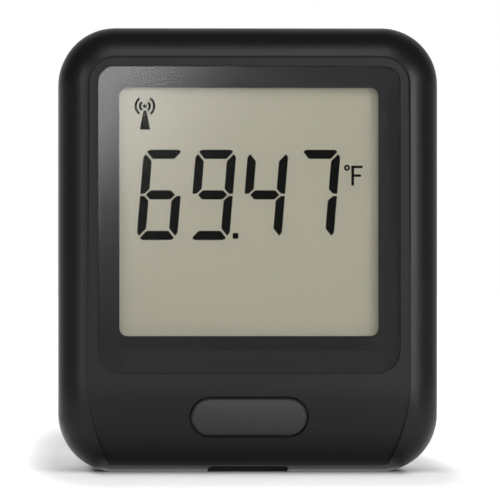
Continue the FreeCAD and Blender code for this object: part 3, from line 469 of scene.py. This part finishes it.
def trim(piece, cuts):
    """Cuts a flat piece along lines, each a point and the way outwards, and clears what is outside."""
    bpy.ops.object.mode_set(mode="EDIT")
    for (x, z), (out_x, out_z) in cuts:
        bpy.ops.mesh.select_all(action="SELECT")
        bpy.ops.mesh.bisect(plane_co=(x, 0.0, z), plane_no=(out_x, 0.0, out_z), clear_outer=True)
    bpy.ops.object.mode_set(mode="OBJECT")
    return piece


def lay_ink(name, shapes, x, z, slant=0.0):
    """Joins flat shapes into one sign, leans it, lays it on the film at (x, z) and gives it thickness."""
    bpy.ops.object.select_all(action="DESELECT")
    for shape in shapes:
        shape.select_set(True)
    bpy.context.view_layer.objects.active = shapes[0]
    if len(shapes) > 1:
        bpy.ops.object.join()
    sign = shapes[0]
    sign.name = name
    sign.data.name = name
    lean = Matrix.Shear("XY", 4, (slant, 0.0))
    sign.data.transform(Matrix.Translation((x, ink_y, z)) @ lean)
    thickness = sign.modifiers.new("thickness", "SOLIDIFY")
    thickness.thickness = ink_depth
    thickness.offset = 1.0
    bpy.ops.object.modifier_apply(modifier="thickness")
    sign.data.materials.clear()
    sign.data.materials.append(ink)
    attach(sign, "case")


digit_half = 0.003755
waist = 0.00834
bar = 0.00170
stroke = 0.00164
gap = 0.00042
digit_pitch = 0.00963
digit_slant = 0.083

# Each cut is a point on it and the way outwards: mitres at the corners, chamfers on the shoulders, and
# points on the middle bar.
mitre_x = 0.757
mitre_z = 0.653
diagonal = 0.707
middle_end = 0.00271
level_cuts = [
    ((digit_half - 0.00026, waist), (mitre_x, -mitre_z)),
    ((0.00262, waist), (0.555, 0.832)),
]
upright_cuts = [
    ((digit_half + 0.00022, waist), (-mitre_x, mitre_z)),
    ((digit_half, waist - 0.0014), (0.8, 0.6)),
    ((0.00320, 0.0), (-diagonal, -diagonal)),
]
middle_cuts = [
    ((middle_end, 0.0), (diagonal, diagonal)),
    ((middle_end, 0.0), (diagonal, -diagonal)),
]


def mirrored(cuts, side, rise):
    """The same cuts on the other side, or turned over."""
    return [((side * x, rise * z), (side * out_x, rise * out_z)) for (x, z), (out_x, out_z) in cuts]


def segment(letter):
    """One segment of a digit whose middle is at the origin, lettered as on a data sheet."""
    if letter == "g":
        piece = flat_rectangle(letter, -digit_half, digit_half, -bar / 2, bar / 2)
        return trim(piece, mirrored(middle_cuts, 1, 1) + mirrored(middle_cuts, -1, 1))
    rise = 1 if letter in "abf" else -1
    if letter in "ad":
        low, high = sorted((rise * waist, rise * (waist - bar)))
        piece = flat_rectangle(letter, -digit_half, digit_half, low, high)
        return trim(piece, mirrored(level_cuts, 1, rise) + mirrored(level_cuts, -1, rise))
    side = 1 if letter in "bc" else -1
    left, right = sorted((side * digit_half, side * (digit_half - stroke)))
    low, high = sorted((rise * gap / 2, rise * waist))
    return trim(flat_rectangle(letter, left, right, low, high), mirrored(upright_cuts, side, rise))


digits_x = -0.01630
digits_z = 0.05116
lit_segments = [("6", "acdefg"), ("9", "abcdfg"), ("4", "bcfg"), ("7", "abc")]
for number, (figure, lit) in enumerate(lit_segments):
    shapes = [segment(letter) for letter in lit]
    lay_ink(f"digit_{figure}", shapes, digits_x + number * digit_pitch, digits_z, digit_slant)

dot_side = 0.00105
dot_x = -0.00296
dot_z = 0.04307
lay_ink("decimal_point", [flat_rectangle("dot", 0.0, dot_side, 0.0, dot_side)], dot_x, dot_z)


def flat_ring(name, radius, width):
    """A flat ring round the origin, in the plane of the display's face."""
    bpy.ops.object.select_all(action="DESELECT")
    bpy.ops.mesh.primitive_circle_add(
        vertices=64, radius=radius, fill_type="NGON", rotation=(math.pi / 2, 0.0, 0.0)
    )
    piece = bpy.context.active_object
    piece.name = name
    bpy.ops.object.transform_apply(location=True, rotation=True, scale=True)
    if width < radius:
        bpy.ops.object.mode_set(mode="EDIT")
        bpy.ops.mesh.select_all(action="SELECT")
        bpy.ops.mesh.inset(thickness=width)
        bpy.ops.mesh.delete(type="FACE")
        bpy.ops.object.mode_set(mode="OBJECT")
    return piece


def radio_wave(radius, width, side):
    """A part of a ring to the left (-1) or right (1) of the mast's head."""
    half_angle = math.radians(55.0)
    out_x = -side * math.sin(half_angle)
    out_z = math.cos(half_angle)
    return trim(
        flat_ring("wave", radius, width),
        [((0.0, 0.0), (out_x, out_z)), ((0.0, 0.0), (out_x, -out_z))],
    )


mast_x = -0.01917
mast_z = 0.06753
mast_half = 0.001
mast_low = -0.00434
mast_high = -0.00078
mast_cut = ((0.00024, mast_high), (0.98, 0.19))
head_radius = 0.00036
wave_stroke = 0.00046
mast = flat_rectangle("mast", -mast_half, mast_half, mast_low, mast_high)
mast = trim(mast, mirrored([mast_cut], 1, 1) + mirrored([mast_cut], -1, 1))
head = flat_ring("head", head_radius, head_radius)
waves = [radio_wave(radius, wave_stroke, side) for radius in (0.00113, 0.00194) for side in (-1, 1)]
lay_ink("radio_mast", [mast, head] + waves, mast_x, mast_z)

# The left, right, low and high side of each bar of the unit's letter.
letter_bars = [
    (0.0, 0.00050, 0.0, 0.00366),
    (0.0, 0.00210, 0.0032, 0.00366),
    (0.0, 0.0018, 0.0016, 0.00206),
]
letter_x = 0.01897
letter_z = 0.05290
lay_ink("unit_letter", [flat_rectangle("bar", *sides) for sides in letter_bars], letter_x, letter_z)

degree_radius = 0.00056
degree_stroke = 0.00036
degree_x = 0.01817
degree_z = 0.05617
lay_ink("degree_ring", [flat_ring("degree", degree_radius, degree_stroke)], degree_x, degree_z)

# The display holder: a white moulded frame that carries the cell in front of the board on four pins, with
# the layered rubber strip that joins the glass to the board.
holder_white = speckled("white_moulding", (0.78, 0.78, 0.75), 0.03, 0.5, 0.4, 0.0003, 0.00001)
finish_node("lcd_holder", holder_white)


def striped(name, first, second, scale, roughness):
    """A finish in fine stripes along X, such as layered rubber or a bundle of traces."""
    material = new_material(name)
    tree = material.node_tree
    place = tree.nodes.new("ShaderNodeTexCoord")
    stripes = add_node(tree, "ShaderNodeTexWave", Scale=scale, Distortion=0.4)
    shade = tree.nodes.new("ShaderNodeMix")
    shade.data_type = "RGBA"
    shade.inputs["A"].default_value = (*first, 1.0)
    shade.inputs["B"].default_value = (*second, 1.0)
    face = add_node(tree, "ShaderNodeBsdfPrincipled", Roughness=roughness)
    output = tree.nodes.new("ShaderNodeOutputMaterial")
    tree.links.new(place.outputs["Object"], stripes.inputs["Vector"])
    tree.links.new(stripes.outputs["Fac"], shade.inputs["Factor"])
    tree.links.new(shade.outputs["Result"], face.inputs["Base Color"])
    tree.links.new(face.outputs["BSDF"], output.inputs["Surface"])
    return material


finish_node("lcd_connector", striped("layered_rubber", (0.55, 0.18, 0.32), (0.02, 0.02, 0.02), 900.0, 0.6))

# The main board: glass epoxy under green solder mask, with copper tracks that show through it as lighter
# lines, and the chips and small parts soldered on its rear.
def masked_board(name, mask, track):
    """Solder mask over copper: lighter tracks under a clear gloss."""
    material = new_material(name)
    tree = material.node_tree
    place = tree.nodes.new("ShaderNodeTexCoord")
    cells = add_node(tree, "ShaderNodeTexVoronoi", Scale=260.0)
    cells.distance = "MANHATTAN"
    cells.feature = "F2"
    lines = add_node(tree, "ShaderNodeMapRange", From_Min=0.9, From_Max=1.0)
    shade = tree.nodes.new("ShaderNodeMix")
    shade.data_type = "RGBA"
    shade.inputs["A"].default_value = (*mask, 1.0)
    shade.inputs["B"].default_value = (*track, 1.0)
    relief = add_node(tree, "ShaderNodeBump", Strength=0.6, Distance=0.00003)
    face = add_node(tree, "ShaderNodeBsdfPrincipled", Roughness=0.28)
    output = tree.nodes.new("ShaderNodeOutputMaterial")
    tree.links.new(place.outputs["Object"], cells.inputs["Vector"])
    tree.links.new(cells.outputs["Distance"], lines.inputs["Value"])
    tree.links.new(lines.outputs["Result"], shade.inputs["Factor"])
    tree.links.new(lines.outputs["Result"], relief.inputs["Height"])
    tree.links.new(relief.outputs["Normal"], face.inputs["Normal"])
    tree.links.new(shade.outputs["Result"], face.inputs["Base Color"])
    tree.links.new(face.outputs["BSDF"], output.inputs["Surface"])
    return material


green_mask = masked_board("green_solder_mask", (0.008, 0.075, 0.028), (0.02, 0.16, 0.06))
finish_node("main_board", green_mask)
finish_node("battery_protection_board", green_mask)
moulded_epoxy = speckled("moulded_epoxy", (0.018, 0.018, 0.019), 0.15, 0.55, 0.4, 0.00012, 0.000006)
for node in ("temperature_sensor", "processor", "memory_chip", "charger_chip"):
    finish_node(node, moulded_epoxy)
finish_node("inductor", speckled("sintered_ferrite", (0.05, 0.05, 0.052), 0.2, 0.6, 0.4, 0.00018, 0.00001))
fired_ceramic = speckled("fired_ceramic", (0.48, 0.34, 0.20), 0.12, 0.45, 0.4, 0.00015, 0.000006)
for node in sorted(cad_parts):
    if node.startswith("capacitor_"):
        finish_node(node, fired_ceramic)

# The radio module: a small blue board with a tinned can over its chips and its aerial etched in copper. The
# crystal on the main board has a tinned can too.
def worked_metal(name, colour, roughness, scratch):
    """Bare or plated metal with a fine lay of tool marks and a slight change of tone."""
    dull_share = 0.82
    gloss_spread = 0.08
    material = new_material(name)
    tree = material.node_tree
    place = tree.nodes.new("ShaderNodeTexCoord")
    stretch = tree.nodes.new("ShaderNodeMapping")
    stretch.inputs["Scale"].default_value = (1.0, 1.0, 14.0)
    marks = add_node(tree, "ShaderNodeTexNoise", Scale=scratch, Detail=4.0)
    clouds = add_node(tree, "ShaderNodeTexNoise", Scale=140.0, Detail=2.0)
    shade = tree.nodes.new("ShaderNodeMix")
    shade.data_type = "RGBA"
    shade.inputs["A"].default_value = (*(dull_share * part for part in colour), 1.0)
    shade.inputs["B"].default_value = (*colour, 1.0)
    gloss = add_node(
        tree, "ShaderNodeMapRange", To_Min=roughness - gloss_spread, To_Max=roughness + gloss_spread
    )
    face = add_node(tree, "ShaderNodeBsdfPrincipled", Metallic=1.0)
    output = tree.nodes.new("ShaderNodeOutputMaterial")
    tree.links.new(place.outputs["Object"], stretch.inputs["Vector"])
    tree.links.new(stretch.outputs["Vector"], marks.inputs["Vector"])
    tree.links.new(place.outputs["Object"], clouds.inputs["Vector"])
    tree.links.new(clouds.outputs["Fac"], shade.inputs["Factor"])
    tree.links.new(marks.outputs["Fac"], gloss.inputs["Value"])
    tree.links.new(shade.outputs["Result"], face.inputs["Base Color"])
    tree.links.new(gloss.outputs["Result"], face.inputs["Roughness"])
    tree.links.new(face.outputs["BSDF"], output.inputs["Surface"])
    return material


tinned = worked_metal("tinned_sheet", (0.66, 0.65, 0.63), 0.32, 900.0)
finish_node("wifi_board", masked_board("blue_solder_mask", (0.008, 0.022, 0.09), (0.02, 0.05, 0.18)))
finish_node("wifi_shield", tinned)
finish_node("wifi_antenna", worked_metal("etched_copper", (0.72, 0.38, 0.20), 0.35, 1200.0))
finish_node("crystal", tinned)

# The push button: a cap moulded in a slightly lighter black, held by its flange behind the case's collar
# with a silicone ring between them, over a tactile switch with a sheet cover.
button_black = speckled("button_black_abs", (0.0190, 0.0192, 0.0196), 0.10, 0.42, 0.30, 0.00022, 0.000012)
even_shading(cleaned_moulding("button_cap", "push_button", button_black, "button"), 40.0)
grey_silicone = speckled("grey_silicone", (0.05, 0.05, 0.054), 0.08, 0.7, 0.3, 0.0003, 0.00001)
finish_node("button_seal", grey_silicone)
black_nylon = speckled("black_nylon", (0.015, 0.015, 0.016), 0.1, 0.5, 0.4, 0.0002, 0.00001)
finish_node("switch_body", black_nylon)
finish_node("switch_plunger", black_nylon)
finish_node("switch_cover", tinned)

# The charging socket: a tinned steel shell soldered to the board, round a black tongue that carries five
# gold-plated contacts.
finish_node("usb_shell", tinned)
finish_node("usb_tongue", black_nylon)
gold_plate = worked_metal("gold_plate", (0.83, 0.62, 0.28), 0.25, 1500.0)
contact_count = 5
contact_pitch = 0.00065
contact_size = (0.0004, 0.00008, 0.0026)
contact_inset = 0.0003
contact_lift = 0.00003
contact_edge = 0.00002
tongue_low, tongue_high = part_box("usb_tongue")
contact_x = -contact_pitch * (contact_count - 1) / 2
contact_y = tongue_high.y + contact_lift
contact_z = tongue_low.z + contact_inset + contact_size[2] / 2
bpy.ops.object.select_all(action="DESELECT")
bpy.ops.mesh.primitive_cube_add(size=1.0, location=(contact_x, contact_y, contact_z))
first_contact = bpy.context.active_object
first_contact.scale = contact_size
bpy.ops.object.transform_apply(location=True, rotation=True, scale=True)
bevel = first_contact.modifiers.new("rounded_edges", "BEVEL")
bevel.width = contact_edge
bevel.segments = 2
bpy.ops.object.modifier_apply(modifier="rounded_edges")
first_contact.data.materials.append(gold_plate)
for number in range(contact_count):
    contact = first_contact
    if number > 0:
        contact = first_contact.copy()
        contact.data = first_contact.data.copy()
        contact.data.transform(Matrix.Translation((number * contact_pitch, 0.0, 0.0)))
        bpy.context.scene.collection.objects.link(contact)
    contact.name = f"usb_contact_{number + 1}"
    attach(contact, "case")

# The battery: a lithium polymer pouch in aluminium laminate, stuck down on a foam pad, with its leads run
# up to a nylon plug.
finish_node("battery_cell", worked_metal("pouch_laminate", (0.60, 0.61, 0.63), 0.42, 300.0))
finish_node("battery_pad", black_foam)
black_pvc = speckled("black_pvc", (0.014, 0.014, 0.014), 0.08, 0.45, 0.4, 0.0004, 0.00001)
red_pvc = speckled("red_pvc", (0.42, 0.02, 0.02), 0.08, 0.45, 0.4, 0.0004, 0.00001)
finish_node("battery_lead_outer", black_pvc)
finish_node("battery_lead_inner", red_pvc)
plug_nylon = speckled("natural_nylon", (0.74, 0.72, 0.64), 0.04, 0.45, 0.4, 0.0003, 0.00001)
finish_node("battery_plug", plug_nylon)
finish_node("battery_header", plug_nylon)

# The rear of the case: the second black moulding, with a silicone cord in the joint between the two, and
# a keyhole that the logger hangs from a screw by.
finish_node("case_seal", grey_silicone)
even_shading(cleaned_moulding("rear_case", "rear_moulding", satin_black))

# The screws: zinc-plated steel with pan heads and cross recesses. Four hold the rear moulding on, and four
# hold the board on its posts.
zinc = worked_metal("zinc_plate", (0.62, 0.63, 0.65), 0.30, 1500.0)
for node in sorted(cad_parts):
    if node.startswith("case_screw_"):
        even_shading(cleaned_moulding(node, f"rear_screw_{node[-1]}", zinc))
    if node.startswith("board_screw_"):
        finish_node(node, zinc)
